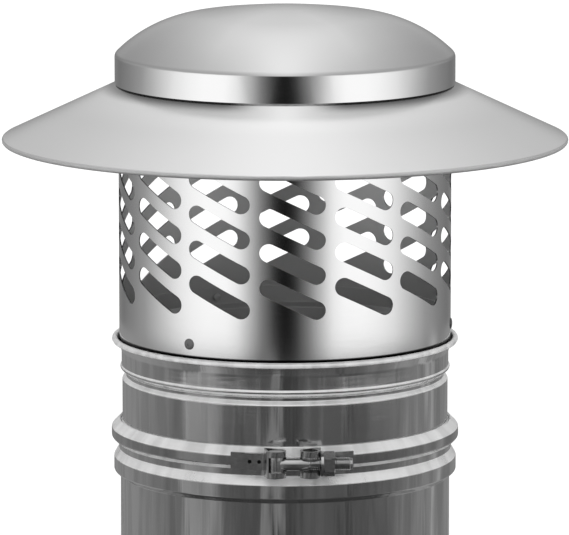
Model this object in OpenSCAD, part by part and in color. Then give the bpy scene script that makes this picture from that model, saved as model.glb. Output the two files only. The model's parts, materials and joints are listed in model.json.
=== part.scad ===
// Chimney rain cap on its flue pipe, with the locking band that joins the two pipe lengths.
// Millimetres, +Z up. The origin is the centre of the pipe's cut end, and the front faces -Y.

/* [Flue size] */
// Outside diameter of the slotted tube, which both pipe lengths follow
tube_d = 200; // [170:0.5:240]
// How much smaller the barrel is than the tube
barrel_step = 3.4; // [3:0.1:6]
// How much wider the collar is than the barrel
collar_step = 0.8; // [0.4:0.1:1.5]

/* [Flue pipe] */
// Wall of both pipe lengths
pipe_wall = 0.8; // [0.6:0.1:1]
// Plain pipe below the seal bead
stub_h = 83.5; // [40:0.5:200]
// Upright face of the bead that holds the seal
bead_face_h = 7.9; // [6:0.1:14]
// Rise of the bead's lower slope
bead_low_h = 3; // [2.5:0.1:6]
// Rise of the bead's upper slope
bead_high_h = 5.4; // [3:0.1:8]
// How far the bead stands out from the neck above it
bead_out = 3.1; // [2:0.1:5]
// Straight neck between the bead and the locking flange
neck_h = 4.7; // [3:0.1:12]

/* [Upper pipe length] */
// Straight height of the barrel above the locking flange
barrel_h = 24.8; // [10:0.1:80]
// Straight height of the collar
collar_h = 8.5; // [6:0.1:40]
// How far the stop groove goes in from the collar
stop_in = 2.8; // [2.2:0.1:5]
// Flat bottom of the stop groove
stop_flat_h = 2.4; // [2:0.1:5]
// Rise of the groove's lower slope
groove_low_h = 2; // [1.6:0.1:5]
// Rise of the groove's upper slope, on which the cap rests
groove_high_h = 3.1; // [2.6:0.1:6]
// Rise of the ridge's upper slope
ridge_h = 1.5; // [1.2:0.1:4]
// How far the ridge above the groove stands out from the collar
ridge_out = 1.1; // [0.6:0.1:2]
// Lean of the mouth from upright
flare_angle = 22; // [15:1:30]
// Outside radius of the rolled lip
lip_roll_r = 1.8; // [1.6:0.1:3]
// How far the upper length enters the lower one below the seal
entry_h = 2; // [1:0.1:2.5]
// How far an edge that enters another piece is drawn in
lead_in = 0.6; // [0.3:0.1:1]
// Height of that drawn-in edge
lead_h = 2.5; // [1.8:0.1:4]

/* [Locking flange and band] */
// How far the locking flanges stand out from the barrel
flange_out = 5.1; // [4:0.1:7]
// Blunt edge of each flange
flange_edge = 1.5; // [1.4:0.1:4]
// Wall of the band
band_wall = 1; // [0.8:0.1:1.4]
// Half of the opening in the band at the bolt
band_open = 7.5; // [6.5:0.1:9]

/* [Cap tube] */
// Wall of the slotted tube
tube_wall = 0.8; // [0.6:0.1:1.2]
// Length of the slotted tube
tube_h = 164.6; // [150:0.2:220]
// Slots around the tube
slot_columns = 14; // [10:1:14]
// Rows of slots
slot_rows = 4; // [2:1:4]
// Width of a slot
slot_w = 11; // [6:0.5:13]
// Length of a slot from end to end
slot_len = 42; // [24:0.5:44]
// How far a slot drops towards its right end
slot_tilt = 25.5; // [15:0.5:30]
// Height from one row to the next
row_pitch = 20.8; // [18:0.1:24]
// Height of the lowest row above the tube's bottom edge
first_row_h = 39.3; // [36:0.1:50]
// Turn of the slot pattern from the front
slot_turn = 2.6; // [0:0.1:12]

/* [Spigot sleeve] */
// Wall of the sleeve
sleeve_wall = 0.8; // [0.6:0.1:1.2]
// Height of the sleeve inside the tube
sleeve_h = 16; // [15:0.5:30]
// Height of the step from the tube's bore down to the spigot
step_h = 3; // [2:0.1:4]
// Height of the step's foot above the tube's bottom edge
step_up = 2.6; // [1:0.1:5]
// Number of rivets
rivet_count = 3; // [3:1:8]
// Diameter of a rivet's head
rivet_head_d = 6.6; // [5:0.1:8]
// Diameter of a rivet's shank
rivet_d = 3.2; // [2.4:0.1:4.8]
// Height of the rivets above the tube's bottom edge
rivet_up = 10; // [9:0.1:12]
// Turn of the first rivet from the front
rivet_turn = -34.4; // [-60:0.1:60]

/* [Hat] */
// Outside diameter of the brim over its rolled rim
brim_d = 340; // [280:1:420]
// Slope of the brim
brim_angle = 25.2; // [15:0.1:35]
// Wall of the brim and the dome
hat_wall = 1; // [0.6:0.1:1.2]
// Outside radius of the rolled rim
rim_roll_r = 1.8; // [1.6:0.1:3]
// Height of the brim's neck above its slope
neck_rise = 11; // [8:0.5:14]
// Bend radius between that neck and the slope
brim_bend_r = 1.2; // [1.2:0.1:2.2]
// Upright height of the dome's skirt
skirt_h = 15.7; // [13:0.1:30]
// Radius of the dome's top
crown_r = 400; // [250:10:800]
// Distance from the axis at which the top turns into the shoulder
crown_reach = 55; // [40:1:65]
// Radius of the dome's shoulder
shoulder_r = 82; // [70:1:110]
// Radius of the edge between dome and skirt
edge_r = 4; // [2:0.1:6]

/* [Closure] */
// Thread diameter of the bolt
bolt_d = 8; // [7:0.1:8]
// Length of the bolt from the middle of its cross bar
bolt_len = 45; // [40:0.5:60]
// Diameter of the cross bar
bar_d = 9; // [8.6:0.1:10]
// Height of the strap loops
loop_h = 16; // [14:0.5:18]
// Height of the strap tails on the band
tail_h = 10; // [8:0.5:12]
// Wall of the straps
strap_wall = 1.4; // [1:0.1:1.6]
// Distance between the two loops
loop_span = 20; // [18:0.5:26]
// Turn of the closure from the front
closure_turn = 2.4; // [-20:0.1:20]
// Reach of the strap tails from the middle of the closure
tail_end = 36; // [32:0.5:60]
// Reach of the flap that comes back over the bolt strap's tail
flap_end = 28; // [27:0.5:30]
// Outside diameter of the washer
washer_d = 15; // [13:0.5:15]
// Thickness of the washer
washer_t = 1.6; // [1:0.1:2]
// Size of the nut across its flats
nut_af = 13; // [11:0.1:13]
// Height of the nut
nut_h = 6.5; // [5:0.1:8]

/* [Clearances] */
// Between sheets that are welded or riveted face to face
weld_gap = 0.1; // [0.05:0.01:0.2]
// Between the spigot and the collar, all round
spigot_gap = 0.5; // [0.3:0.05:1]
// Between the spigot's edge and the stop groove
seat_gap = 0.3; // [0.2:0.05:0.5]
// Between the tube and the rolled lip
mouth_gap = 0.8; // [0.6:0.05:1.5]
// Between the upper length and the lower pipe's bore
pipe_gap = 0.4; // [0.3:0.05:0.8]
// Between the upper length and the neck of the lower pipe
neck_gap = 1.2; // [0.8:0.05:2]
// Between the band and the flanges inside it
band_gap = 0.4; // [0.3:0.05:0.8]
// Between the bar or the nut and what turns on it
turn_gap = 0.08; // [0.05:0.01:0.1]
// Between the closure's loose pieces and the straps
loose_gap = 0.3; // [0.2:0.05:0.4]
// Between the bolt and the slot in each strap that it swings in
fork_gap = 0.5; // [0.3:0.05:0.8]

/* [Hidden] */

// Facets on a full turn, for every round form
round_fn = 96;
// Turn from one point of a bend to the next
bend_step = 15;
// The same on the dome, which needs a finer line
dome_step = 2;
// The same along the straps, which follow the band
strap_step = 3;
// How far a cutting shape reaches past what it cuts
over = 5;

// Bend radii at the middle of the pipes' wall: plain, at the ridge, at the flanges' edges,
// at the drawn-in edges and where the mouth opens
bend_r = 1.2;
ridge_bend_r = 0.8;
fold_bend_r = 0.6;
lead_bend_r = 2;
mouth_bend_r = 6;

// Where the rolled rim and the rolled lip end, on their circles
rim_roll_end = -200;
lip_roll_end = -100;

// Finishes
satin_steel = "#d9d9d9";
bright_steel = "#c4c6c8";
pipe_steel = "#8f9194";
bolt_steel = "#a5a7a8";
rivet_grey = "#8a8a8a";
seal_rubber = "#3a3a3a";

// Radii of the two pipe lengths, each at the middle of its wall
half_wall = pipe_wall / 2;
tube_r = tube_d / 2;
barrel_r = tube_r - barrel_step / 2;
barrel_mid = barrel_r - half_wall;
pipe_mid = barrel_r + pipe_gap + half_wall;
neck_mid = barrel_r + neck_gap + half_wall;
bead_mid = neck_mid + bead_out;
flange_mid = barrel_mid + flange_out;
collar_r = barrel_r + collar_step / 2;
collar_mid = collar_r - half_wall;

// Heights of the lower pipe
bead_z = stub_h + bead_low_h;
bead_top_z = bead_z + bead_face_h;
neck_z = bead_top_z + bead_high_h;
low_flank_z = neck_z + neck_h;
flange_half = half_wall + weld_gap;
joint_z = low_flank_z + (flange_mid - neck_mid) + flange_edge + flange_half;

// Heights of the upper length
high_flank_z = joint_z + flange_half + flange_edge + flange_out;
groove_z = high_flank_z + barrel_h;
groove_mid = collar_mid - stop_in;
ridge_mid = collar_mid + ridge_out;
groove_top_z = groove_z + groove_low_h + stop_flat_h;
ridge_z = groove_top_z + groove_high_h;
collar_z = ridge_z + ridge_h;
flare_z = collar_z + collar_h;

// The mouth: its lip clears the tube, and the flare joins lip and collar
tube_bore_r = tube_r - tube_wall;
lip_mid = lip_roll_r - half_wall;
lip_r = tube_r + mouth_gap + lip_roll_r;
flare_end_r = lip_r - lip_mid * cos(flare_angle);
flare_end_z = flare_z + (flare_end_r - collar_mid) / tan(flare_angle);
lip_z = flare_end_z - lip_mid * sin(flare_angle);

// The cap stands on the upper flank of the stop groove
tube_z = lip_z - seat_gap;
sleeve_top_mid = tube_bore_r - weld_gap - sleeve_wall / 2;
spigot_r = collar_r - pipe_wall - spigot_gap;
spigot_mid = spigot_r - sleeve_wall / 2;
flank_length = norm([ridge_mid - groove_mid, groove_high_h]);
flank_rise = half_wall * flank_length / (ridge_mid - groove_mid);
edge_out_r = spigot_r - lead_in + sleeve_wall / 2;
spigot_z = groove_top_z + flank_rise + seat_gap
    + (edge_out_r - groove_mid) * groove_high_h / (ridge_mid - groove_mid);
step_z = tube_z + step_up;

// The hat: tube, brim neck and dome skirt stand one inside the other
neck_bore_r = tube_r + weld_gap;
hat_neck_mid = neck_bore_r + hat_wall / 2;
skirt_mid = neck_bore_r + hat_wall + weld_gap + hat_wall / 2;
skirt_r = skirt_mid + hat_wall / 2;
tube_top_z = tube_z + tube_h;
hat_neck_z = tube_top_z + hat_wall;
brim_z = hat_neck_z - neck_rise;
rim_mid = rim_roll_r - hat_wall / 2;
rim_end_r = brim_d / 2 - rim_roll_r + rim_mid * sin(brim_angle);
rim_end_z = brim_z - (rim_end_r - hat_neck_mid) * tan(brim_angle);
skirt_z = brim_z + brim_bend_r * tan(45 - brim_angle / 2);
edge_z = skirt_z + skirt_h;

// The dome's top and shoulder are two arcs that run into each other
crown_angle = asin(crown_reach / crown_r);
edge_mid_r = edge_r - hat_wall / 2;
shoulder_x = crown_reach * (1 - shoulder_r / crown_r);
edge_angle = asin((skirt_mid - edge_mid_r - shoulder_x) / (shoulder_r - edge_r));
edge_c = [skirt_mid - edge_mid_r, edge_z];
shoulder_z = edge_z - (shoulder_r - edge_r) * cos(edge_angle);
crown_z = shoulder_z - (crown_r - shoulder_r) * cos(crown_angle);

// The band follows the flanges at its clearance
band_offset = half_wall + band_gap + band_wall / 2;
band_mid = flange_mid + band_offset;
band_r = band_mid + band_wall / 2;
band_face_half = flange_half + flange_edge + band_offset * (sqrt(2) - 1);
band_top_r = barrel_mid + band_offset + band_gap;
band_low_r = neck_mid + band_offset + band_gap;

// The closure, in its own frame: x along the bolt, y out from the pipe
tail_mid = band_r + weld_gap + strap_wall / 2;
bar_r = bar_d / 2;
bolt_r = bolt_d / 2;
loop_mid = bar_r + turn_gap + strap_wall / 2;
loop_x = loop_span / 2;
washer_x = loop_x + loop_mid + strap_wall / 2 + loose_gap;
nut_x = washer_x + washer_t + turn_gap;
nut_corner_r = nut_af / sqrt(3);
tail_outer_r = tail_mid + strap_wall / 2;
bolt_y = sqrt(pow(tail_outer_r, 2) - pow(washer_x, 2)) + max(washer_d / 2, nut_corner_r)
    + loose_gap;
slot_half = bolt_r + fork_gap;
foot_x = loop_x + 4;
flap_start = foot_x + 2 * strap_wall;

// A point at an angle on a circle
function on_circle(c, r, a) = [c.x + r * cos(a), c.y + r * sin(a)];
// Points along an arc, a bend step or less apart
function arc(c, r, from, to, step = bend_step) =
    let (n = max(1, ceil(abs(to - from) / step)))
    [for (i = [0 : n]) on_circle(c, r, from + (to - from) * i / n)];
function unit(v) = v / norm(v);
function left_of(v) = [-v.y, v.x];
// The points of one rounded corner between its two neighbours
function corner(a, p, b) =
    let (
        d1 = unit([p.x - a.x, p.y - a.y]),
        d2 = unit([b.x - p.x, b.y - p.y]),
        side = sign(d1.x * d2.y - d1.y * d2.x),
        turn = acos(max(-1, min(1, d1 * d2))),
        c = [p.x, p.y] - d1 * p[2] * tan(turn / 2) + side * p[2] * left_of(d1),
        from = atan2(d1.y, d1.x) - side * 90
    )
    arc(c, p[2], from, from + side * turn);
// A line through rounded corners, each given as [x, y, bend radius]
function bent(corners) =
    let (last = len(corners) - 1)
    concat(
        [[corners[0].x, corners[0].y]],
        [for (i = [1 : last - 1]) each corner(corners[i - 1], corners[i], corners[i + 1])],
        [[corners[last].x, corners[last].y]]
    );
// The line moved sideways by a distance, with its corners kept parallel
function beside(line, d) =
    let (last = len(line) - 1)
    [for (i = [0 : last])
        let (
            n1 = left_of(unit(line[max(i, 1)] - line[max(i, 1) - 1])),
            n2 = left_of(unit(line[min(i, last - 1) + 1] - line[min(i, last - 1)])),
            m = n1 + n2
        )
        line[i] + m * 2 * d / (m * m)];
function backwards(line) = [for (i = [len(line) - 1 : -1 : 0]) line[i]];
// The line without the points that two joined stretches share
function joined(line) =
    [for (i = [0 : len(line) - 1]) if (i == 0 || norm(line[i] - line[i - 1]) > 0.001) line[i]];

// The cross-section of a sheet, along the middle of its wall
function section(line, wall) =
    let (middle = joined(line))
    concat(beside(middle, wall / 2), backwards(beside(middle, -wall / 2)));

// A sheet turned into a round shell, none of whose points passes the axis
module shell(line, wall) {
    rotate_extrude($fn = round_fn)
        polygon([for (p = section(line, wall)) [max(p.x, 0), p.y]]);
}

// Places what stands at the front at another turn round the axis
module around(turn, z = 0) {
    rotate([0, 0, turn]) translate([0, 0, z]) children();
}

// A slot's outline
module slot_outline() {
    straight = slot_len - slot_w;
    square([straight, slot_w], center = true);
    for (side = [-1, 1]) translate([side * straight / 2, 0]) circle(d = slot_w, $fn = 48);
}

// One slot's cutter, at the front of the tube
module slot_cutter() {
    translate([0, -tube_r + 2 * over, 0]) rotate([90, 0, 0])
        linear_extrude(3 * over) rotate(-slot_tilt) slot_outline();
}

// A round hole's cutter, at the front
module rivet_hole() {
    translate([0, -tube_r - over, 0]) rotate([-90, 0, 0])
        cylinder(d = rivet_d + 2 * weld_gap, h = 3 * over, $fn = 48);
}

module at_rivets() {
    for (i = [0 : rivet_count - 1])
        around(rivet_turn + i * 360 / rivet_count, tube_z + rivet_up) children();
}

// Domed top with its upright skirt, pressed from one sheet
module dome_cap() {
    line = concat(
        arc([0, crown_z], crown_r - hat_wall / 2, 90, 90 - crown_angle, dome_step),
        arc([shoulder_x, shoulder_z], shoulder_r - hat_wall / 2,
            90 - crown_angle, 90 - edge_angle, dome_step),
        arc(edge_c, edge_mid_r, 90 - edge_angle, 0, bend_step / 2),
        [[skirt_mid, skirt_z]]
    );
    color(satin_steel) shell(line, hat_wall);
}

// Sloping brim: a neck that stands inside the skirt, and a rolled rim
module brim() {
    rim_c = [
        rim_end_r - rim_mid * sin(brim_angle),
        rim_end_z - rim_mid * cos(brim_angle)
    ];
    line = concat(
        bent([
            [hat_neck_mid, hat_neck_z],
            [hat_neck_mid, brim_z, brim_bend_r],
            [rim_end_r, rim_end_z]
        ]),
        arc(rim_c, rim_mid, 90 - brim_angle, rim_roll_end, 2 * bend_step)
    );
    color(satin_steel) shell(line, hat_wall);
}

// Rolled tube with rows of slanting slots, and holes for the rivets
module slotted_tube() {
    color(bright_steel) difference() {
        translate([0, 0, tube_z]) cylinder(r = tube_r, h = tube_h, $fn = round_fn);
        translate([0, 0, tube_z - over])
            cylinder(r = tube_bore_r, h = tube_h + 2 * over, $fn = round_fn);
        for (column = [0 : slot_columns - 1], row = [0 : slot_rows - 1])
            around(slot_turn + column * 360 / slot_columns,
                tube_z + first_row_h + row * row_pitch) slot_cutter();
        at_rivets() rivet_hole();
    }
}

// Sleeve inside the tube's foot, stepped in to enter the collar
module spigot_sleeve() {
    line = bent([
        [sleeve_top_mid, tube_z + sleeve_h],
        [sleeve_top_mid, step_z + step_h, bend_r],
        [spigot_mid, step_z, bend_r],
        [spigot_mid, spigot_z + lead_h, lead_bend_r],
        [spigot_mid - lead_in, spigot_z]
    ]);
    color(bright_steel) difference() {
        shell(line, sleeve_wall);
        at_rivets() rivet_hole();
    }
}

// Blind rivets through tube and sleeve
module sleeve_rivets() {
    head_t = 0.15 * rivet_head_d;
    tail_d = 1.5 * rivet_d;
    tail_t = 0.7 * rivet_d;
    grip = tube_wall + 2 * weld_gap + sleeve_wall;
    module rivet() {
        rotate_extrude($fn = 48) polygon([
            [0, head_t], [rivet_head_d / 2 - head_t, head_t], [rivet_head_d / 2, head_t / 3],
            [rivet_head_d / 2, 0], [rivet_d / 2, 0], [rivet_d / 2, -grip - weld_gap],
            [tail_d / 2, -grip - weld_gap - head_t / 2], [tail_d / 2, -grip - tail_t + head_t],
            [rivet_d / 2, -grip - tail_t], [0, -grip - tail_t]
        ]);
    }
    color(rivet_grey) at_rivets()
        translate([0, -tube_r - weld_gap, 0]) rotate([90, 0, 0]) rivet();
}

// Upper pipe length: rolled lip, mouth, stop groove, barrel, locking flange and entry
module socket_collar() {
    entry_z = bead_z - entry_h;
    flank_top = joint_z + flange_half + flange_edge;
    line = concat(
        backwards(arc([lip_r, lip_z], lip_mid, 180 - flare_angle, lip_roll_end, 2 * bend_step)),
        bent([
            [flare_end_r, flare_end_z],
            [collar_mid, flare_z, mouth_bend_r],
            [collar_mid, collar_z, ridge_bend_r],
            [ridge_mid, ridge_z, ridge_bend_r],
            [groove_mid, groove_top_z, bend_r],
            [groove_mid, groove_z + groove_low_h, bend_r],
            [barrel_mid, groove_z, bend_r],
            [barrel_mid, high_flank_z, bend_r],
            [flange_mid, flank_top, fold_bend_r],
            [flange_mid, joint_z + flange_half, fold_bend_r],
            [barrel_mid, joint_z + flange_half, bend_r],
            [barrel_mid, entry_z + lead_h, lead_bend_r],
            [barrel_mid - lead_in, entry_z]
        ])
    );
    color(pipe_steel) shell(line, pipe_wall);
}

// Lower pipe length: locking flange, neck, seal bead and plain pipe
module flue_pipe() {
    fold_end = 0.8;
    line = bent([
        [neck_mid + fold_end, joint_z - flange_half],
        [flange_mid, joint_z - flange_half, fold_bend_r],
        [flange_mid, joint_z - flange_half - flange_edge, fold_bend_r],
        [neck_mid, low_flank_z, bend_r],
        [neck_mid, neck_z, bend_r],
        [bead_mid, bead_top_z, bend_r],
        [bead_mid, bead_z, bend_r],
        [pipe_mid, stub_h, bend_r],
        [pipe_mid, 0]
    ]);
    color(pipe_steel) shell(line, pipe_wall);
}

// Rubber seal in the bead, with two lips against the entering pipe
module joint_seal() {
    back_r = bead_mid - half_wall - weld_gap;
    front_r = neck_mid - half_wall + weld_gap;
    lip_tip_r = barrel_r + weld_gap;
    end_gap = 0.5;
    low_z = bead_z + end_gap;
    high_z = bead_top_z - end_gap;
    lip_t = 1.6;
    middle_z = (low_z + high_z) / 2;
    color(seal_rubber) rotate_extrude($fn = round_fn) polygon([
        [back_r, low_z], [back_r, high_z], [front_r, high_z],
        [lip_tip_r, high_z - lip_t], [lip_tip_r, high_z - 1.5 * lip_t],
        [front_r, middle_z],
        [lip_tip_r, low_z + lip_t], [lip_tip_r, low_z + 0.5 * lip_t],
        [front_r, low_z]
    ]);
}

// Locking band: a channel round both flanges, open at the bolt
module clamp_band() {
    open_angle = asin(band_open / band_r);
    line = bent([
        [band_top_r, joint_z + band_face_half + band_mid - band_top_r],
        [band_mid, joint_z + band_face_half, bend_r],
        [band_mid, joint_z - band_face_half, bend_r],
        [band_low_r, joint_z - band_face_half - (band_mid - band_low_r)]
    ]);
    color(pipe_steel) rotate([0, 0, closure_turn - 90 + open_angle])
        rotate_extrude(angle = 360 - 2 * open_angle, start = 0, $fn = round_fn)
            polygon(section(line, band_wall));
}

// Turns a form drawn with x along the bolt and y outwards into its place at the front
module at_closure() {
    rotate([0, 0, closure_turn]) translate([0, 0, joint_z]) mirror([0, 1, 0]) children();
}

// Where a straight line from a point touches a circle
function touch(p, c, r, side) =
    let (v = p - c)
    on_circle(c, r, atan2(v.y, v.x) + side * acos(r / norm(v)));
function angle_of(p, c) = atan2(p.y - c.y, p.x - c.x);
// The line along a circle round the pipe's axis, between two distances from the middle
function tail_line(r, from_x, to_x) =
    arc([0, 0], r, 90 - asin(from_x / r), 90 - asin(to_x / r), strap_step);

// A strap right of the gap: its tail lies on the band, rises under the bar and loops round it.
// With a flap it comes back down on its own tail, and otherwise it ends in an open curl.
function strap_line(flap) =
    let (
        c = [loop_x, bolt_y],
        curl_end = -62,
        tail = tail_line(tail_mid, tail_end, foot_x),
        back = tail_line(tail_mid + strap_wall + weld_gap, flap_start, flap_end),
        under = touch(tail[len(tail) - 1], c, loop_mid, -1),
        down = touch(back[0], c, loop_mid, 1),
        end = flap ? angle_of(down, c) : curl_end
    )
    concat(
        tail,
        arc(c, loop_mid, angle_of(under, c), end - 360),
        flap ? corner(down, [back[0].x, back[0].y, strap_wall], back[1]) : [],
        flap ? [for (i = [1 : len(back) - 1]) back[i]] : []
    );

// A strap cut to its outline: full height at the loop, narrower on the band
module strap(flap) {
    shoulder_x = loop_x + loop_mid + strap_wall;
    intersection() {
        linear_extrude(loop_h, center = true) polygon(section(strap_line(flap), strap_wall));
        union() {
            translate([0, 0, -loop_h / 2])
                cube([shoulder_x, bolt_y + 2 * over + loop_mid, loop_h]);
            translate([0, 0, -tail_h / 2])
                cube([tail_end + over, bolt_y + 2 * over + loop_mid, tail_h]);
        }
    }
}

// Strap on the left of the gap, whose loop holds the bolt's cross bar; two spot welds dimple its flap
module bolt_strap() {
    flap_top = tail_mid + 1.5 * strap_wall + weld_gap;
    dimple_d = 2.4;
    dimple_depth = 0.25;
    color(bolt_steel) at_closure() mirror([1, 0, 0]) difference() {
        strap(true);
        translate([-over, bolt_y - slot_half, -slot_half])
            cube([loop_x + slot_half + over, 4 * over, 2 * slot_half]);
        for (share = [0.25, 0.75])
            rotate([0, 0, -asin((flap_start + share * (flap_end - flap_start)) / flap_top)])
                translate([0, flap_top - dimple_depth, 0])
                    rotate([-90, 0, 0]) cylinder(d = dimple_d, h = over, $fn = 32);
    }
}

// Strap on the right of the gap, forked so that the bolt can swing out
module nut_strap() {
    color(bolt_steel) at_closure() difference() {
        strap(false);
        translate([-over, bolt_y - slot_half, -slot_half])
            cube([loop_x + 3 * over, 4 * over, 2 * slot_half]);
    }
}

// Bolt with its cross bar
module t_bolt() {
    bar_inset = 0.2;
    bar_h = loop_h - 2 * bar_inset;
    chamfer = 1;
    color(bolt_steel) at_closure() translate([-loop_x, bolt_y, 0]) {
        rotate_extrude($fn = 64) polygon([
            [0, -bar_h / 2], [bar_r - chamfer / 2, -bar_h / 2],
            [bar_r, -bar_h / 2 + chamfer / 2], [bar_r, bar_h / 2 - chamfer / 2],
            [bar_r - chamfer / 2, bar_h / 2], [0, bar_h / 2]
        ]);
        rotate([0, 90, 0]) rotate_extrude($fn = 64) polygon([
            [0, 0], [bolt_r, 0], [bolt_r, bolt_len - chamfer],
            [bolt_r - chamfer, bolt_len], [0, bolt_len]
        ]);
    }
}

module bolt_washer() {
    color(bolt_steel) at_closure() translate([washer_x, bolt_y, 0]) rotate([0, 90, 0])
        difference() {
            cylinder(d = washer_d, h = washer_t, $fn = 64);
            translate([0, 0, -over])
                cylinder(r = bolt_r + 2 * turn_gap, h = washer_t + 2 * over, $fn = 64);
        }
}

// Hexagon nut with both faces chamfered
module bolt_nut() {
    chamfer = nut_corner_r - nut_af / 2;
    color(bolt_steel) at_closure() translate([nut_x, bolt_y, 0]) rotate([0, 90, 0])
        difference() {
            intersection() {
                cylinder(r = nut_corner_r, h = nut_h, $fn = 6);
                rotate_extrude($fn = 64) polygon([
                    [0, 0], [nut_af / 2, 0], [nut_corner_r + weld_gap, chamfer / 2],
                    [nut_corner_r + weld_gap, nut_h - chamfer / 2],
                    [nut_af / 2, nut_h], [0, nut_h]
                ]);
            }
            translate([0, 0, -over])
                cylinder(r = bolt_r + turn_gap, h = nut_h + 2 * over, $fn = 64);
        }
}

dome_cap();
brim();
slotted_tube();
spigot_sleeve();
sleeve_rivets();
socket_collar();
flue_pipe();
joint_seal();
clamp_band();
bolt_strap();
nut_strap();
t_bolt();
bolt_washer();
bolt_nut();
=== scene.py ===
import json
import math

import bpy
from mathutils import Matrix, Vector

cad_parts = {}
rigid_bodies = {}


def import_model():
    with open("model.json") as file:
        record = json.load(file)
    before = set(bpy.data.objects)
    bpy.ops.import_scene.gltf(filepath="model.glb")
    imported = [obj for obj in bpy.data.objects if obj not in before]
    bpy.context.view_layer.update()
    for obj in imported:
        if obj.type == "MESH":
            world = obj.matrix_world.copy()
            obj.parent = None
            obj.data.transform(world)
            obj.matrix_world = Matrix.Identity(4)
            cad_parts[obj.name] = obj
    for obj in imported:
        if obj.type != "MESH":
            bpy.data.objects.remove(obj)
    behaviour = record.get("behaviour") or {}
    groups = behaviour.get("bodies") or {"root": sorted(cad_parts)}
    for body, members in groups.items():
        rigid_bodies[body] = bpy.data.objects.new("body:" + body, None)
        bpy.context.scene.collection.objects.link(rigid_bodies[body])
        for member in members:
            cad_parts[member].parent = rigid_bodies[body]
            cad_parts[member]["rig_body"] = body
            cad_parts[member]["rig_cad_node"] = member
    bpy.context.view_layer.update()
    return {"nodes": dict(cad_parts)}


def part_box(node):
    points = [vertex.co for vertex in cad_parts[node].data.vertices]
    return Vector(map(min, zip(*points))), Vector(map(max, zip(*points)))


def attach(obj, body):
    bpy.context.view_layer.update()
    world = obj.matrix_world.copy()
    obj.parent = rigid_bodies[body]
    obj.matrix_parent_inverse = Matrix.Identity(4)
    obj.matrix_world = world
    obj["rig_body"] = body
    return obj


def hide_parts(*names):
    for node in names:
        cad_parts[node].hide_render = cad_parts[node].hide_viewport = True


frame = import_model()

# %% [markdown]
# # A chimney rain cap on its flue pipe
# A stainless hat and a slotted tube stand in the socket of a flue pipe, and a bolted band joins
# that pipe to the next one. The metal shapes come from the CAD frame that was just loaded. This
# notebook adds what makes them look real: a camera, a studio for shiny metal, finishes, and the
# small pieces that a machine drawing leaves plain, such as the bolt's thread and the weld seams.

MM = 0.001


def clear_selection():
    """Operators act on all that is selected, so each piece starts from an empty selection."""
    if bpy.context.object and bpy.context.object.mode != "OBJECT":
        bpy.ops.object.mode_set(mode="OBJECT")
    bpy.ops.object.select_all(action="DESELECT")


def work_on(piece):
    """Makes one object the only selected and active one."""
    clear_selection()
    piece.select_set(True)
    bpy.context.view_layer.objects.active = piece


def finish_piece(piece, name, material, body):
    """Puts the piece's place into its mesh, names it and lets it ride on its body."""
    work_on(piece)
    bpy.ops.object.transform_apply(location=True, rotation=True, scale=True)
    piece.name = name
    piece.data.name = name
    piece.data.materials.clear()
    piece.data.materials.append(material)
    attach(piece, body)
    print(name, "has", len(piece.data.polygons), "faces")


# %% [markdown]
# ## The camera
# The photo looks almost level at the cap, from 9 degrees above, with a long lens that keeps the
# sides nearly parallel. A long lens needs a distant camera, so it stands 3.5 m away. The aim is a
# point on the pipe's axis, which keeps the cap in the middle of the frame. An orthographic camera
# would be simpler, but it would lose the slight perspective that the rings still have.

# %% Camera
look_down = math.radians(9.02)
camera_distance = 3.5
aim = Vector((-0.0003, 0, 0.2083))

clear_selection()
bpy.ops.object.camera_add()
camera = bpy.context.object
camera.name = "camera"
camera.data.lens = 367.4
camera.data.sensor_width = 36
camera.location = aim + camera_distance * Vector((0, -math.cos(look_down), math.sin(look_down)))
camera.rotation_euler = (math.pi / 2 - look_down, 0, 0)
bpy.context.scene.camera = camera
bpy.context.scene.view_settings.view_transform = "Standard"
print("the camera stands at", [round(v, 3) for v in camera.location])

# %% [markdown]
# ## Writing shader maths as Python
# Node trees are easier to read as expressions. `Wire` wraps one socket, and each operator on it
# adds a Math node, also where a plain number stands first, as in 1 - mask. `Finish` starts an
# empty material, and its `node` method adds any kind of node from its settings and inputs.

# %% Wire
class Wire:
    """A number travelling along a link, with the operators that the finishes use."""

    def __init__(self, finish, socket):
        self.finish, self.socket = finish, socket

    def math(self, operation, *others, swap=False):
        values = [self, *others]
        if swap:
            values.reverse()
        inputs = dict(enumerate(values))
        return self.finish.node("ShaderNodeMath", {"operation": operation}, inputs)

    def __add__(self, other):
        return self.math("ADD", other)

    def __radd__(self, other):
        return self.math("ADD", other, swap=True)

    def __sub__(self, other):
        return self.math("SUBTRACT", other)

    def __rsub__(self, other):
        return self.math("SUBTRACT", other, swap=True)

    def __mul__(self, other):
        return self.math("MULTIPLY", other)

    def __rmul__(self, other):
        return self.math("MULTIPLY", other, swap=True)

    def __truediv__(self, other):
        return self.math("DIVIDE", other)

    def __rtruediv__(self, other):
        return self.math("DIVIDE", other, swap=True)

    def __abs__(self):
        return self.math("ABSOLUTE")

    def distance(self, other):
        """The length of the diagonal whose two sides are this wire and the other."""
        return (self * self + other * other).math("SQRT")


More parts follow.
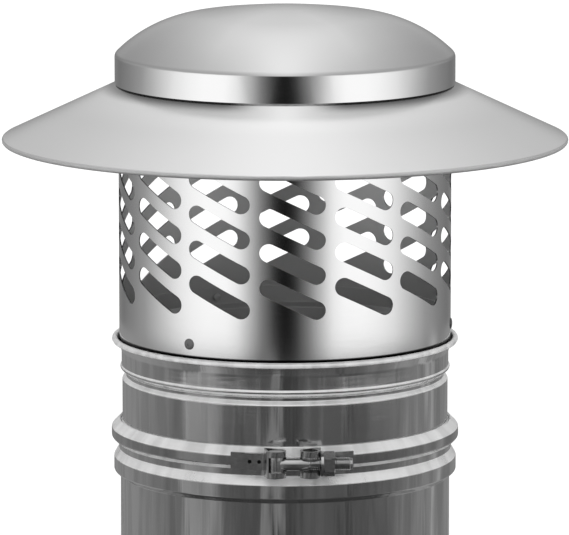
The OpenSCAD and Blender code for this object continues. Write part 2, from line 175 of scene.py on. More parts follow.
# %% Finish
class Finish:
    """A node tree that is built by name, value and link."""

    def __init__(self, name):
        self.material = bpy.data.materials.new(name)
        self.material.use_nodes = True
        self.tree = self.material.node_tree
        self.tree.nodes.clear()
        self.out = self.tree.nodes.new("ShaderNodeOutputMaterial")

    def node(self, kind, settings=None, inputs=None, output=0):
        made = self.tree.nodes.new(kind)
        for key, value in (settings or {}).items():
            setattr(made, key, value)
        for key, value in (inputs or {}).items():
            socket = made.inputs[key]
            if isinstance(value, Wire):
                self.tree.links.new(value.socket, socket)
            else:
                socket.default_value = value
        return Wire(self, made.outputs[output])

    def object_place(self, scale=(1, 1, 1)):
        place = self.node("ShaderNodeTexCoord", output="Object")
        return self.node("ShaderNodeMapping", inputs={"Vector": place, "Scale": scale})

    def noise(self, place, scale, detail=2.0, distortion=0.0):
        inputs = {"Vector": place, "Scale": scale, "Detail": detail, "Distortion": distortion}
        return self.node("ShaderNodeTexNoise", inputs=inputs, output="Fac")

    def split(self, vector):
        parts = self.tree.nodes.new("ShaderNodeSeparateXYZ")
        self.tree.links.new(vector.socket, parts.inputs[0])
        return [Wire(self, socket) for socket in parts.outputs]

    def steps(self, value, start, end):
        """0 below start, 1 above end, and a smooth rise between them."""
        inputs = {"Value": value, "From Min": start, "From Max": end}
        return self.node("ShaderNodeMapRange", {"interpolation_type": "SMOOTHSTEP"}, inputs)

    def ramp(self, value, stops):
        """Greys by place: a dictionary from 0..1 to a brightness."""
        picked = self.node("ShaderNodeValToRGB", inputs={0: value})
        elements = picked.socket.node.color_ramp.elements
        while len(elements) < len(stops):
            elements.new(1.0)
        for element, (place, level) in zip(elements, stops.items()):
            element.position = place
            element.color = (level, level, level, 1)
        return picked

    def mix(self, factor, first, second):
        """One colour turning into another, each a tuple of three or a wire."""
        inputs = {0: factor}
        for slot, colour in ((6, first), (7, second)):
            inputs[slot] = colour if isinstance(colour, Wire) else (*colour, 1)
        return self.node("ShaderNodeMix", {"data_type": "RGBA"}, inputs, output=2)

    def bump(self, height, distance):
        inputs = {"Height": height, "Distance": distance, "Strength": 1.0}
        return self.node("ShaderNodeBump", inputs=inputs)

    def principled(self, **inputs):
        named = {key.replace("_", " "): value for key, value in inputs.items()}
        shader = self.node("ShaderNodeBsdfPrincipled", inputs=named)
        self.tree.links.new(shader.socket, self.out.inputs["Surface"])
        return self.material


# %% [markdown]
# ## The studio
# Polished metal has hardly a colour of its own: it shows the room. The photo was lit in a white
# tent with a dark flag behind the camera, which draws the black stripe down the middle of the
# tube, and with strip lights to the left and right of it, which draw the white bands. A large
# sphere round the object plays that tent. The pipe shows a darker room with a few pale strips,
# so a low screen stands round it, under the height at which the tube would mirror it. Only
# reflections see the tent and the screen. The world is plain white and gives the soft daylight
# that everything else needs, and the pale floor throws some of it back up.

# %% Tones of the tent and the screen
def tone(value):
    """The linear brightness of a grey written from 0 to 255."""
    v = value / 255
    return v / 12.92 if v <= 0.04045 else ((v + 0.055) / 1.055) ** 2.4


STEEL_GREY = 0.86
PIPE_GREY = 0.66

# Grey that the tent shows at each angle away from the camera's side
tent_ring = {
    0: 6, 4: 22, 8: 52, 16: 120, 24: 183, 33: 236, 41: 251, 56: 251, 68: 243,
    80: 227, 90: 203, 101: 176, 113: 147, 130: 127, 150: 110, 180: 128,
}
# Brightness of the tent's roof by height, in degrees above the horizon, and how it falls off
# to the left and right of a long lamp that hangs over the object from front to back
roof_height = {-90: 0.64, 0: 0.64, 16: 0.72, 32: 0.84, 54: 1.0, 73: 1.06, 90: 1.1}
roof_side = {0: 1.0, 0.08: 0.96, 0.2: 0.83, 0.3: 0.75, 0.4: 0.67, 0.55: 0.6, 1: 0.56}
# Between the first two heights the ring gives way to the roof, between the others to the ground
ring_top, roof_start = -6, 16
ring_foot, ground_start = -20, -38
ground_tone = 62
# Grey of the screen from its left side over the camera's side to its right side
screen_tones = {
    -180: 112, -124.6: 124, -90.6: 112, -70.4: 92, -62.7: 142, -51.3: 126, -39.8: 92,
    -22.7: 72, -14.2: 74, -9.5: 122, -5.7: 108, -2.8: 52, 5.7: 60, 13.3: 80, 36: 82,
    38.9: 50, 41.7: 76, 66.6: 86, 85.8: 104, 95.4: 124, 107.1: 112, 114.9: 150, 124.6: 108,
    144.3: 120, 180: 112,
}
# The floor is paper of a light grey, and this much glow makes it white to the eye
FLOOR_LIFT = 0.25


# %% [markdown]
# ### Cloth and paper
# A studio for metal could be lit with area lamps or with a photographed surrounding. Here each
# cloth simply glows with a grey that depends on its direction from the object, so every band of
# the reflection has one number in the lists above. The tent's sides go by the angle round the
# axis, its roof by height and by how far sideways a place lies, and the two blend near the
# horizon. The floor is paper: it takes the object's shadow, and a little glow makes it white.

# %% Cloth and paper
def glow_from(finish, colour):
    glow = finish.node("ShaderNodeEmission", inputs={"Color": colour})
    finish.tree.links.new(glow.socket, finish.out.inputs["Surface"])
    return finish.material


def tent_material():
    tent = Finish("tent_cloth")
    place = tent.node("ShaderNodeTexCoord", output="Object")
    x, y, z = tent.split(place)
    turn = abs(x.math("ARCTAN2", y * -1)) * (1 / math.pi)
    height = z.math("ARCTAN2", x.distance(y)) * (180 / math.pi)
    ring = tent.ramp(turn, {a / 180: tone(v) / STEEL_GREY for a, v in tent_ring.items()})
    rise = tent.ramp(height * (1 / 180) + 0.5,
                     {(a + 90) / 180: v for a, v in roof_height.items()})
    along = tent.split(tent.node("ShaderNodeVectorMath", {"operation": "NORMALIZE"}, {0: place}))
    side = tent.ramp(abs(along[0]), roof_side)
    roof = tent.node("ShaderNodeVectorMath", {"operation": "MULTIPLY"}, {0: rise, 1: side})
    upper = tent.mix(tent.steps(height, ring_top, roof_start), ring, roof)
    whole = tent.mix(tent.steps(height * -1, -ring_foot, -ground_start), upper,
                     (tone(ground_tone) / STEEL_GREY,) * 3)
    return glow_from(tent, whole)


def screen_material():
    screen = Finish("screen_cloth")
    x, y, z = screen.split(screen.node("ShaderNodeTexCoord", output="Object"))
    turn = x.math("ARCTAN2", y * -1) * (0.5 / math.pi) + 0.5
    stops = {a / 360 + 0.5: tone(v) / PIPE_GREY for a, v in screen_tones.items()}
    return glow_from(screen, screen.ramp(turn, stops))


def floor_material():
    floor = Finish("floor_paper")
    soft = floor.node("ShaderNodeBsdfDiffuse", inputs={"Color": (0.9, 0.9, 0.9, 1)})
    path = floor.tree.nodes.new("ShaderNodeLightPath")
    seen = [Wire(floor, path.outputs[name])
            for name in ("Is Camera Ray", "Is Glossy Ray", "Is Transmission Ray")]
    lift = seen[0].math("MAXIMUM", seen[1]).math("MAXIMUM", seen[2])
    glow = floor.node("ShaderNodeEmission", inputs={"Color": lift, "Strength": FLOOR_LIFT})
    both = floor.node("ShaderNodeAddShader", inputs={0: soft, 1: glow})
    floor.tree.links.new(both.socket, floor.out.inputs["Surface"])
    return floor.material


# %% Tent, screen and floor
def only_reflected(prop, material):
    """A studio cloth that lights nothing and shows only in reflections."""
    prop.data.materials.append(material)
    for kind in ("camera", "diffuse", "transmission", "volume_scatter", "shadow"):
        setattr(prop, "visible_" + kind, False)


clear_selection()
TENT_R, TENT_CENTRE = 9, (0, 0, 0.2)
bpy.ops.mesh.primitive_uv_sphere_add(segments=96, ring_count=48, radius=TENT_R,
                                     location=TENT_CENTRE)
tent = bpy.context.object
tent.name = "studio_tent"
only_reflected(tent, tent_material())

SCREEN_R, screen_top, screen_foot = 0.5, 0.098, -0.4
clear_selection()
bpy.ops.mesh.primitive_cylinder_add(vertices=128, radius=SCREEN_R, depth=screen_top - screen_foot,
                                    end_fill_type="NOTHING",
                                    location=(0, 0, (screen_top + screen_foot) / 2))
screen = bpy.context.object
screen.name = "pipe_screen"
only_reflected(screen, screen_material())

clear_selection()
bpy.ops.mesh.primitive_plane_add(size=40, location=(0, 0, -0.0002))
floor = bpy.context.object
floor.name = "floor"
floor.data.materials.append(floor_material())
floor.visible_glossy = False

world = bpy.data.worlds.new("studio")
bpy.context.scene.world = world
world.use_nodes = True
world.node_tree.nodes["Background"].inputs["Color"].default_value = (1, 1, 1, 1)
world.node_tree.nodes["Background"].inputs["Strength"].default_value = 1.0
print("the studio has", len((tent, screen, floor)), "props")

# %% [markdown]
# ## Finishes
# All the sheets are stainless steel, but not one finish. The hat is fine satin, the tube is
# polished, and the pipe is bright-rolled sheet whose slight flats break each reflection into
# upright streaks. Each finish reads Object coordinates, in metres, so a mark can be put where
# it belongs: a painted shadow at the foot of the dome's skirt, painted light on the crown and on
# the pipe's slopes, the duller outside of the rolled rim.
# Painted image textures could do the same, but they would need an unwrapped surface, while
# noise and distances work on any shape and at any size.

# %% Greys of the dome
def grey3(value):
    return (value, value, value)


# Painted reflection on the dome's crown: its grey is lighter in two wedges, towards the viewer
# and away, and darker at the sides, by how far sideways a place lies
painted_crown_sheen = {0: 1.02, 0.45: 1.04, 0.75: 0.88, 0.87: 0.78, 0.95: 0.7, 1: 0.68}


# %% Sheet steel of the cap
def cap_steel(name, roughness, crown=None, painted_skirt_shade_and_glow=None, dull_rim=None):
    """Satin or polished sheet. The painted shade and glow and the rim are rings, by distance from
    the axis.
    """
    steel = Finish(name)
    x, y, _ = steel.split(steel.object_place())
    reach = x.distance(y)
    cloud = steel.noise(steel.object_place(), 9, detail=3)
    grain = steel.noise(steel.object_place((60, 60, 900)), 1, detail=3)
    base = steel.mix(cloud, grey3(STEEL_GREY * 0.985), grey3(STEEL_GREY))
    shine = grain * 0.04 + (roughness - 0.02) + cloud * 0.02
    facing = steel.split(steel.node("ShaderNodeTexCoord", output="Normal"))[2]
    # 0 on the line from front to back, 1 on the line from side to side
    sideways = abs(x) / (reach + 0.0001)
    if crown:
        painted_crown_grey, crown_rough = crown
        # Painted light on the crown: a darker grey where it faces up, and painted reflection
        # wedges
        upward = steel.steps(facing, 0.15, 0.5)
        wedge = steel.ramp(sideways, {a: painted_crown_grey * v for a, v in painted_crown_sheen.items()})
        painted_crown_tone = steel.mix(steel.steps(reach, 0.0, 0.045), grey3(painted_crown_grey * 0.97), wedge)
        base = steel.mix(upward, base, painted_crown_tone)
        shine = shine + upward * crown_rough
    if painted_skirt_shade_and_glow:
        start, end, depth = painted_skirt_shade_and_glow
        # Painted highlight: next to the skirt the brim is painted paler
        painted_glow_ring = steel.steps(reach * -1, -(start + 0.034), -(start + 0.006))
        base = steel.mix(painted_glow_ring, base, grey3(0.98))
        # Painted shadow under the skirt's foot, none at the front and full to the left and right
        shade = steel.steps(reach * -1, -end, -start)
        deep = steel.steps(sideways, 0.12, 0.36) * depth
        base = steel.mix(shade * deep, base, grey3(0.05))
    if dull_rim:
        start, rim_grey, rim_rough = dull_rim
        outside = steel.steps(reach, start - 0.0002, start + 0.0002)
        dull = outside * steel.steps(facing * -1, -0.62, -0.38)
        base = steel.mix(dull, base, grey3(rim_grey))
        shine = shine + dull * rim_rough
    normal = steel.bump(steel.noise(steel.object_place(), 7, detail=1), 0.0002)
    return steel.principled(Base_Color=base, Metallic=1.0, Roughness=shine, Normal=normal)


dome_finish = cap_steel("satin_dome", 0.11, crown=(0.73, 0.06))
brim_finish = cap_steel("satin_brim", 0.18, painted_skirt_shade_and_glow=(0.1022, 0.1120, 0.85),
                        dull_rim=(0.1668, 0.86, 0.5))
sleeve_finish = cap_steel("satin_sleeve", 0.42)
print("made", dome_finish.name, brim_finish.name, sleeve_finish.name)

# %% [markdown]
# ### The polished tube
# Between the tube's foot and the rolled lip there is a gap of less than a millimetre, which no
# light reaches. A reflection can't show that, because the tent would shine into it, so the
# finish darkens the lowest few millimetres. Only the outside was polished, so the inside is
# rougher, and the cut edges of the slots are greyer. A face tells which it is by how far its
# normal points away from the axis.

# %% Polished tube
def tube_steel(name, roughness, shadow_top):
    steel = Finish(name)
    place = steel.object_place()
    x, y, z = steel.split(place)
    cloud = steel.noise(place, 9, detail=3)
    grain = steel.noise(steel.object_place((60, 60, 900)), 1, detail=3)
    base = steel.mix(cloud, grey3(STEEL_GREY * 0.985), grey3(STEEL_GREY))
    shade = steel.steps(z * -1, -shadow_top, -(shadow_top - 0.0009))
    base = steel.mix(shade, base, grey3(0.004))
    # 1 where the surface faces out from the axis, -1 where it faces in, near 0 on the cut edges
    across, along, _ = steel.split(steel.node("ShaderNodeTexCoord", output="Normal"))
    outward = (across * x + along * y) / x.distance(y)
    cut = steel.steps(abs(outward) * -1, -0.93, -0.8)
    base = steel.mix(cut, base, grey3(0.42))
    inside = steel.steps(outward * -1, 0.6, 0.9)
    shine = grain * 0.04 + (roughness - 0.02) + cloud * 0.02 + inside * 0.36
    normal = steel.bump(steel.noise(place, 7, detail=1), 0.0002)
    return steel.principled(Base_Color=base, Metallic=1.0, Roughness=shine, Normal=normal)


tube_low, tube_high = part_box("slotted_tube")
print("the tube stands from", round(tube_low[2] / MM, 1), "to", round(tube_high[2] / MM, 1), "mm")
tube_finish = tube_steel("polished_tube", 0.12, tube_low[2] + 0.0038)


# %% [markdown]
# ### Bright-rolled pipe
# The straight walls carry long upright streaks, finer and coarser ones over each other, and the
# rollers that pressed the ridges left horizontal ripples beside each bend. Both are bumps, made
# from noise that is stretched along the wall: its place is given by the turn round the axis and
# the height. The bends get a paler grey. Slopes that face up, and the rolled lip, carry painted
# light: a near-white colour and a lower Metallic value let them scatter the daylight as if lit
# from above, where a mirror would show the dark room only.

# %% Sheet steel of the pipe
NO_LIP = 9.0  # a height in metres that no piece reaches


def pipe_steel(name, wall_grey, bend_grey, roughness, wave, lip_foot=NO_LIP):
    """Bright-rolled sheet. Everything above lip_foot is the rolled lip."""
    steel = Finish(name)
    x, y, z = steel.split(steel.object_place())
    lip = steel.steps(z, lip_foot - 0.0004, lip_foot + 0.0004)
    turn = x.math("ARCTAN2", y * -1)
    coarse = steel.node("ShaderNodeCombineXYZ", inputs={0: turn * 2.4, 1: z * 5.0, 2: 0.0})
    fine = steel.node("ShaderNodeCombineXYZ", inputs={0: turn * 16.0, 1: z * 11.0, 2: 0.4})
    level = steel.node("ShaderNodeCombineXYZ", inputs={0: turn * 2.0, 1: z * 190.0, 2: 0.8})
    streak = steel.noise(coarse, 1.0, detail=2, distortion=0.3)
    thin = steel.noise(fine, 1.0, detail=2, distortion=0.3)
    ripple = steel.noise(level, 1.0, detail=1, distortion=0.8)
    facing = steel.split(steel.node("ShaderNodeTexCoord", output="Normal"))[2]
    bend = steel.steps(abs(facing), 0.12, 0.5)
    # Painted light on the slopes that face up and on the lip: near-white, less metallic, mottled
    # by noise
    painted_light_mottle = steel.steps(thin + ripple * 0.4, 0.45, 0.9) * 0.38 + 0.62
    painted_top_light = lip.math("MAXIMUM", steel.steps(facing, 0.18, 0.55)) * painted_light_mottle
    patch = steel.steps(thin, 0.40, 0.60)
    straight = steel.mix(patch, grey3(wall_grey * 0.9), grey3(wall_grey * 1.06))
    base = steel.mix(painted_top_light, steel.mix(bend, straight, grey3(bend_grey)), grey3(0.97))
    shine = thin * 0.08 + roughness + painted_top_light * 0.25
    relief = streak * wave + thin * (wave * 0.08) + ripple * (wave * 0.02)
    normal = steel.bump(relief, 1.0)
    return steel.principled(Base_Color=base, Metallic=1 - painted_top_light * 0.7, Roughness=shine,
                            Normal=normal)


_, collar_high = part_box("socket_collar")
pipe_finish = pipe_steel("bright_rolled_pipe", PIPE_GREY, 0.84, 0.10, 0.003,
                         lip_foot=collar_high[2] - 2.9 * MM)
band_finish = pipe_steel("bright_rolled_band", 0.5, 0.7, 0.16, 0.002)
print("made", pipe_finish.name, band_finish.name)


# %% [markdown]
# ### Small metal and rubber
# The bolt, its washer and its nut are zinc plated, the straps are plain steel, the left one with
# the dark marks of its spot welds, and the rivets are dull. All are one recipe with other
# numbers: a fine grain that varies the grey, the roughness and the bump together. The weld marks
# are dimples in the solid already, and the finish only adds their burnt colour, by the distance
# from two points. The seal is black rubber with a fine grain and little shine.

# %% Small metal and rubber
def small_metal(name, grey, roughness, grain_size, inner=None, burns=()):
    """Fine-grained metal, as pale as the tube where it is nearer to the axis than inner.
    The burns are the dark marks of spot welds, each a place across and up the front."""
    metal = Finish(name)
    place = metal.object_place()
    speck = metal.noise(place, grain_size, detail=3)
    base = metal.mix(speck, grey3(grey * 0.8), grey3(grey))
    if inner:
        x, y, _ = metal.split(place)
        within = metal.steps(x.distance(y) * -1, -inner, 0.0005 - inner)
        base = metal.mix(within, base, grey3(STEEL_GREY))
    for across, up in burns:
        off = metal.node("ShaderNodeVectorMath", {"operation": "DISTANCE"},
                         {0: metal.object_place((1, 0, 1)), 1: (across, 0, up)}, output=1)
        base = metal.mix(metal.steps(off * -1, -1.4 * MM, -0.9 * MM), base, grey3(0.03))
    return metal.principled(Base_Color=base, Metallic=1.0, Roughness=speck * 0.12 + roughness,
                            Normal=metal.bump(speck, 0.00003))


bolt_finish = small_metal("zinc_plate", 0.66, 0.16, 700)
strap_finish = small_metal("strap_steel", 0.55, 0.16, 500,
                           burns=((-20.8 * MM, 109.6 * MM), (-15.2 * MM, 109.6 * MM)))
rivet_finish = small_metal("rivet_metal", 0.36, 0.5, 900, inner=0.0993)
weld_finish = small_metal("weld_bead", 0.6, 0.22, 600)

rubber = Finish("seal_rubber")
rubber_speck = rubber.noise(rubber.object_place(), 900, detail=2)
rubber_finish = rubber.principled(
    Base_Color=rubber.mix(rubber_speck, grey3(0.02), grey3(0.045)),
    Roughness=rubber_speck * 0.1 + 0.55, Normal=rubber.bump(rubber_speck, 0.00005))
print("made", bolt_finish.name, strap_finish.name, rivet_finish.name, weld_finish.name,
      rubber_finish.name)

# %% [markdown]
# ### Dressing the nodes
# Each node of the frame gets its finish by name. Only the material changes here, and the mesh
# stays as CAD made it. The copies that are made below take their finish along.

# %% Dress the CAD nodes
finish_of = {
    "dome_cap": dome_finish, "brim": brim_finish, "slotted_tube": tube_finish,
    "spigot_sleeve": sleeve_finish, "sleeve_rivets": rivet_finish,
    "socket_collar": pipe_finish, "flue_pipe": pipe_finish, "joint_seal": rubber_finish,
    "clamp_band": band_finish, "bolt_strap": strap_finish, "nut_strap": strap_finish,
    "t_bolt": bolt_finish, "bolt_washer": bolt_finish, "bolt_nut": bolt_finish,
}
for name, material in finish_of.items():
    node = frame["nodes"][name]
    node.data.materials.clear()
    node.data.materials.append(material)
print("dressed", len(finish_of), "nodes")

# %% [markdown]
# ## Round bends instead of steps
# CAD drew each bend of a sheet as a row of short straight steps, which mirror the studio as
# hard lines. A drawing tool could be asked for more steps, but shading can round them at no
# cost: the node is copied, its doubled points are merged, and every edge under 35 degrees is
# shaded smooth. The edges of the sheet turn by 90 degrees, so they stay crisp. Smooth shading
# alone would also bulge the flat walls next to a bend, since a shared point takes the mean of
# its faces. The Weighted Normal modifier lets the large faces win, so the walls stay straight
# and only the bends turn. Copies replace their nodes, which are never changed themselves.

# %% Smooth copies of the bent sheets
SMOOTH_UNDER = math.radians(35)


def smooth_copy(name):
    node = frame["nodes"][name]
    work_on(node)
    bpy.ops.object.duplicate()
    sheet = bpy.context.object
    body = sheet["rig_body"]
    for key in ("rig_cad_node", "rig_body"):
        del sheet[key]
    work_on(sheet)
    bpy.ops.object.mode_set(mode="EDIT")
    bpy.ops.mesh.select_all(action="SELECT")
    bpy.ops.mesh.remove_doubles(threshold=0.00001)
    bpy.ops.mesh.normals_make_consistent(inside=False)
    bpy.ops.object.mode_set(mode="OBJECT")
    bpy.ops.mesh.customdata_custom_splitnormals_clear()
    bpy.ops.object.shade_smooth_by_angle(angle=SMOOTH_UNDER)
    even = sheet.modifiers.new("walls_win", "WEIGHTED_NORMAL")
    even.mode, even.weight, even.keep_sharp = "FACE_AREA", 100, True
    bpy.ops.object.modifier_apply(modifier=even.name)
    sheet.name = name + "_sheet"
    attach(sheet, body)
    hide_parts(name)
    print(sheet.name, "has", len(sheet.data.polygons), "faces")
    return sheet


for name in ("dome_cap", "brim", "socket_collar", "flue_pipe", "clamp_band", "bolt_strap",
             "nut_strap", "spigot_sleeve"):
    smooth_copy(name)

# %% [markdown]
# ### The slotted tube
# The tube's wall is a true cylinder and mirrors the studio, so even a small error in its normals
# would show as an upright band. The exact normals are known, since each points straight away
# from the axis, so they are set. A face belongs to the wall when all its points lie on the
# outside, or all on the inside, and it isn't level like the closed end.

# %% Tube with true normals
TUBE_R, TUBE_BORE_R, NEARLY = 100 * MM, 99.2 * MM, 0.15 * MM
tube_mesh = smooth_copy("slotted_tube").data
tube_normals = [corner.vector.copy() for corner in tube_mesh.corner_normals]
wall_faces = 0
for face in tube_mesh.polygons:
    spots = [tube_mesh.vertices[index].co for index in face.vertices]
    reaches = [math.hypot(spot.x, spot.y) for spot in spots]
    heights = [spot.z for spot in spots]
    on_outside = min(reaches) > TUBE_R - NEARLY
    on_inside = max(reaches) < TUBE_BORE_R + NEARLY
    if (on_outside or on_inside) and max(heights) - min(heights) > 0.001 * MM:
        wall_faces += 1
        for corner, spot in zip(face.loop_indices, spots):
            outward = Vector((spot.x, spot.y, 0)).normalized()
            tube_normals[corner] = outward if on_outside else -outward
tube_mesh.normals_split_custom_set(tube_normals)
print("the tube's wall has", wall_faces, "of", len(tube_mesh.polygons), "faces")

# %% [markdown]
# ## The bolt with its thread
# A real M8 thread is a V that climbs 1.25 mm with each turn. The Screw modifier makes exactly
# that: it takes a profile one pitch high and turns it round an axis while it climbs. The profile
# starts as a square plane. Its two outer corners are merged into one crest, and the edge between
# the inner corners goes, so that each turn of the V joins the next without a wall between them.
# A plain core fills the thread, and a plain shank and the cross bar complete the bolt.

# %% Sizes of the bolt
THREAD_PITCH = 1.25 * MM
BOLT_R, ROOT_R, BAR_R = 4.0 * MM, 3.35 * MM, 4.5 * MM
THREAD_START, BOLT_END = 19 * MM, 45 * MM
closure_turn = math.radians(2.4)
bar_centre = Vector((-0.005265, -0.113172, 0.1096))
bar_low, bar_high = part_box("t_bolt")
bar_half = (bar_high[2] - bar_low[2]) / 2
print("the cross bar is", round(2 * bar_half / MM, 2), "mm high")


# %% Selecting by place
def select_verts(piece, keep):
    """In edit mode, selects the points for which keep(position) is true."""
    bpy.ops.mesh.select_all(action="DESELECT")
    bpy.ops.object.mode_set(mode="OBJECT")
    for vert in piece.data.vertices:
        vert.select = bool(keep(vert.co))
    bpy.ops.object.mode_set(mode="EDIT")


def select_edges(piece, keep):
    """In edit mode, selects the edges whose two points both pass keep(position)."""
    bpy.ops.mesh.select_all(action="DESELECT")
    bpy.ops.mesh.select_mode(type="EDGE")
    bpy.ops.object.mode_set(mode="OBJECT")
    points = piece.data.vertices
    for edge in piece.data.edges:
        edge.select = all(keep(points[index].co) for index in edge.vertices)
    bpy.ops.object.mode_set(mode="EDIT")


# %% Thread
clear_selection()
bpy.ops.mesh.primitive_plane_add(size=THREAD_PITCH, rotation=(math.pi / 2, 0, 0))
thread = bpy.context.object
thread.scale.x = (BOLT_R - ROOT_R) / THREAD_PITCH
thread.location.x = (BOLT_R + ROOT_R) / 2
bpy.ops.object.transform_apply(location=True, rotation=True, scale=True)
middle = (BOLT_R + ROOT_R) / 2
bpy.ops.object.mode_set(mode="EDIT")
bpy.ops.mesh.select_mode(type="VERT")
select_verts(thread, lambda co: co.x > middle)
bpy.ops.mesh.merge(type="CENTER")
select_edges(thread, lambda co: co.x < middle)
bpy.ops.mesh.delete(type="EDGE_FACE")
bpy.ops.mesh.select_mode(type="VERT")
bpy.ops.object.mode_set(mode="OBJECT")
print("the profile has", len(thread.data.edges), "edges")

screw = thread.modifiers.new("screw", "SCREW")
screw.axis = "Z"
screw.screw_offset = THREAD_PITCH
screw.iterations = int((BOLT_END - THREAD_START) / THREAD_PITCH) - 1
screw.steps = screw.render_steps = 48
screw.use_merge_vertices = True
screw.merge_threshold = 0.000001
bpy.ops.object.modifier_apply(modifier=screw.name)
thread.location.z = THREAD_START + THREAD_PITCH / 2
bpy.ops.object.transform_apply(location=True)
print("the thread has", len(thread.data.polygons), "faces")


# %% [markdown]
# ### The rest of the bolt
# The core, the shank and the cross bar are round bars, and one helper makes all three: a cylinder
# whose ends get a small bevel. A profile and a spin would also do, but a bevelled cylinder shows
# at once what it is. The bars reach into one another, as the real bolt is one piece of steel.

# %% Core, shank and cross bar
def rod(radius, start, end, bevel):
    """A round bar along Z with bevelled ends, as a lathe leaves it."""
    clear_selection()
    bpy.ops.mesh.primitive_cylinder_add(vertices=64, radius=radius, depth=end - start,
                                        location=(0, 0, (start + end) / 2))
    bar = bpy.context.object
    bpy.ops.object.transform_apply(location=True)
    cut = bar.modifiers.new("bevel", "BEVEL")
    cut.width = bevel
    cut.segments = 3
    cut.limit_method = "ANGLE"
    cut.angle_limit = math.radians(60)
    bpy.ops.object.modifier_apply(modifier=cut.name)
    return bar


core = rod(ROOT_R + 0.02 * MM, THREAD_START - 1 * MM, BOLT_END, 0.5 * MM)
shank = rod(BOLT_R, 2 * MM, THREAD_START, 0.4 * MM)
cross_bar = rod(BAR_R, -bar_half, bar_half, 0.5 * MM)
cross_bar.rotation_euler.x = math.pi / 2
cross_bar.rotation_euler.z = math.pi / 2
work_on(cross_bar)
bpy.ops.object.transform_apply(rotation=True)


def join_pieces(first, *others):
    clear_selection()
    for piece in (first, *others):
        piece.select_set(True)
    bpy.context.view_layer.objects.active = first
    bpy.ops.object.join()
    return first


bolt = join_pieces(thread, core, shank, cross_bar)
work_on(bolt)
bpy.ops.object.mode_set(mode="EDIT")
bpy.ops.mesh.select_all(action="SELECT")
bpy.ops.mesh.normals_make_consistent(inside=False)
bpy.ops.object.mode_set(mode="OBJECT")
bpy.ops.object.shade_smooth_by_angle(angle=math.radians(40))
bolt.rotation_euler = (0, math.pi / 2, closure_turn)
bolt.location = bar_centre
finish_piece(bolt, "threaded_bolt", bolt_finish, "bolt")
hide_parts("t_bolt")

# %% [markdown]
# ## Blind rivets
# A blind rivet has a low domed head with a hole in the middle, where the pulling pin broke off,
# and a bulb on the far side. Half a sphere, flattened, gives the head. Its middle is pushed in
# and a stub of the pin stands in that hole. One rivet is made and copied to its three places.

# %% Rivet head
HEAD_R, HEAD_H, PIN_R = 3.3 * MM, 0.96 * MM, 0.85 * MM
rivet_low, rivet_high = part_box("sleeve_rivets")
rivet_z = (rivet_low[2] + rivet_high[2]) / 2
rivet_turn, rivet_count = math.radians(-34.4), 3
head_base = 100.1 * MM

clear_selection()
bpy.ops.mesh.primitive_uv_sphere_add(segments=48, ring_count=32, radius=HEAD_R)
head = bpy.context.object
bpy.ops.object.mode_set(mode="EDIT")
bpy.ops.mesh.select_mode(type="VERT")
bpy.ops.mesh.select_all(action="SELECT")
bpy.ops.mesh.bisect(plane_co=(0, 0, 0), plane_no=(0, 0, 1), clear_inner=True, use_fill=True)
bpy.ops.mesh.select_all(action="DESELECT")
select_verts(head, lambda co: co.z > 0 and math.hypot(co.x, co.y) < PIN_R)
bpy.ops.mesh.select_mode(type="FACE")
bpy.ops.mesh.extrude_region_move(TRANSFORM_OT_translate={"value": (0, 0, -1.6 * MM)})
bpy.ops.mesh.inset(thickness=0.15 * MM)
bpy.ops.mesh.extrude_region_move(TRANSFORM_OT_translate={"value": (0, 0, 0.9 * MM)})
bpy.ops.mesh.select_mode(type="VERT")
bpy.ops.object.mode_set(mode="OBJECT")
head.scale.z = HEAD_H / HEAD_R
bpy.ops.object.transform_apply(scale=True)
print("the rivet's head has", len(head.data.polygons), "faces")

# %% Bulb and shank
BULB_R, BULB_Z, RIVET_SHANK_R, RIVET_END = 2.4 * MM, -3.2 * MM, 1.6 * MM, -3.6 * MM
clear_selection()
bpy.ops.mesh.primitive_uv_sphere_add(segments=32, ring_count=16, radius=BULB_R)
bulb = bpy.context.object
bulb.scale.z = 0.27
bulb.location.z = BULB_Z
bpy.ops.object.transform_apply(location=True, scale=True)
rivet_shank = rod(RIVET_SHANK_R, RIVET_END, 0, 0.1 * MM)
rivet = join_pieces(head, bulb, rivet_shank)
work_on(rivet)
bpy.ops.object.mode_set(mode="EDIT")
bpy.ops.mesh.select_all(action="SELECT")
bpy.ops.mesh.normals_make_consistent(inside=False)
bpy.ops.object.mode_set(mode="OBJECT")
bpy.ops.object.shade_smooth_by_angle(angle=math.radians(40))
print("one rivet has", len(rivet.data.polygons), "faces")

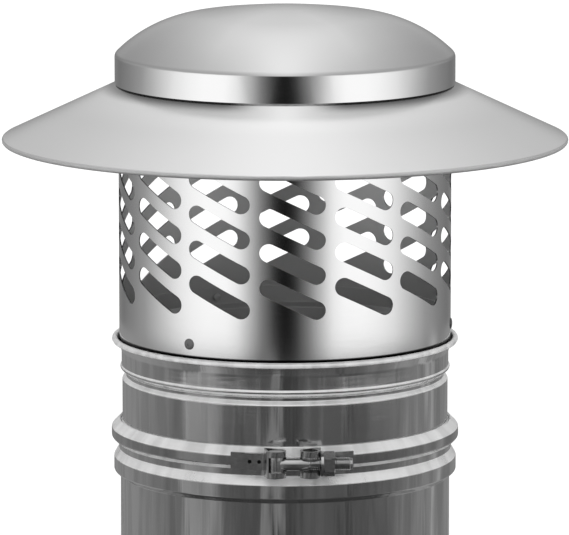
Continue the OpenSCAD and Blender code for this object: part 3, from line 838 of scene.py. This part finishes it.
# %% [markdown]
# ### Three rivets in place
# Real rivets are bought alike, so one is copied. Each copy gets its own mesh, is turned to its
# third of the circle and takes its place in the tube's wall, and the pattern is then deleted.

# %% Three rivets in place
for index in range(rivet_count):
    turn = rivet_turn + index * 2 * math.pi / rivet_count
    work_on(rivet)
    bpy.ops.object.duplicate()
    placed = bpy.context.object
    placed.rotation_euler = (math.pi / 2, 0, turn)
    placed.location = (head_base * math.sin(turn), -head_base * math.cos(turn), rivet_z)
    finish_piece(placed, f"blind_rivet_{index + 1}", rivet_finish, "cap")
    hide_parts("sleeve_rivets")
work_on(rivet)
bpy.ops.object.delete()

# %% [markdown]
# ## Weld seams at the back
# Each tube is a sheet that was rolled and welded along one line. The photo doesn't show that
# line, so it stands at the back, between two columns of slots. A weld bead is a row of ripples,
# so one flat ripple is shaped from a sphere, and an Array modifier repeats it every millimetre.

# %% Seams
def weld_seam(name, wall_r, low, high, turn, body):
    clear_selection()
    bpy.ops.mesh.primitive_uv_sphere_add(segments=16, ring_count=10, radius=1 * MM)
    seam = bpy.context.object
    seam.scale = (1.3, 0.3, 1.5)
    bpy.ops.object.transform_apply(scale=True)
    row = seam.modifiers.new("row", "ARRAY")
    row.use_relative_offset = False
    row.use_constant_offset = True
    row.constant_offset_displace = (0, 0, 1 * MM)
    row.count = int((high - low) / MM) - 3
    bpy.ops.object.modifier_apply(modifier=row.name)
    bpy.ops.object.shade_smooth()
    seam.rotation_euler.z = turn
    seam.location = (wall_r * math.sin(turn), -wall_r * math.cos(turn), low + 2 * MM)
    finish_piece(seam, name, weld_finish, body)


seam_turn = math.radians(169.7)
# The straight walls of the two pipe lengths that carry a seam
BARREL_R, BARREL_LOW, BARREL_HIGH = 98.3 * MM, 0.1175, 0.1435
PIPE_R, PIPE_HIGH = 99.5 * MM, 0.0825
weld_seam("tube_seam", TUBE_R, tube_low[2] + 4 * MM, tube_high[2] - 14 * MM, seam_turn, "cap")
weld_seam("barrel_seam", BARREL_R, BARREL_LOW, BARREL_HIGH, seam_turn, "root")
weld_seam("pipe_seam", PIPE_R, 0.0, PIPE_HIGH, seam_turn, "root")
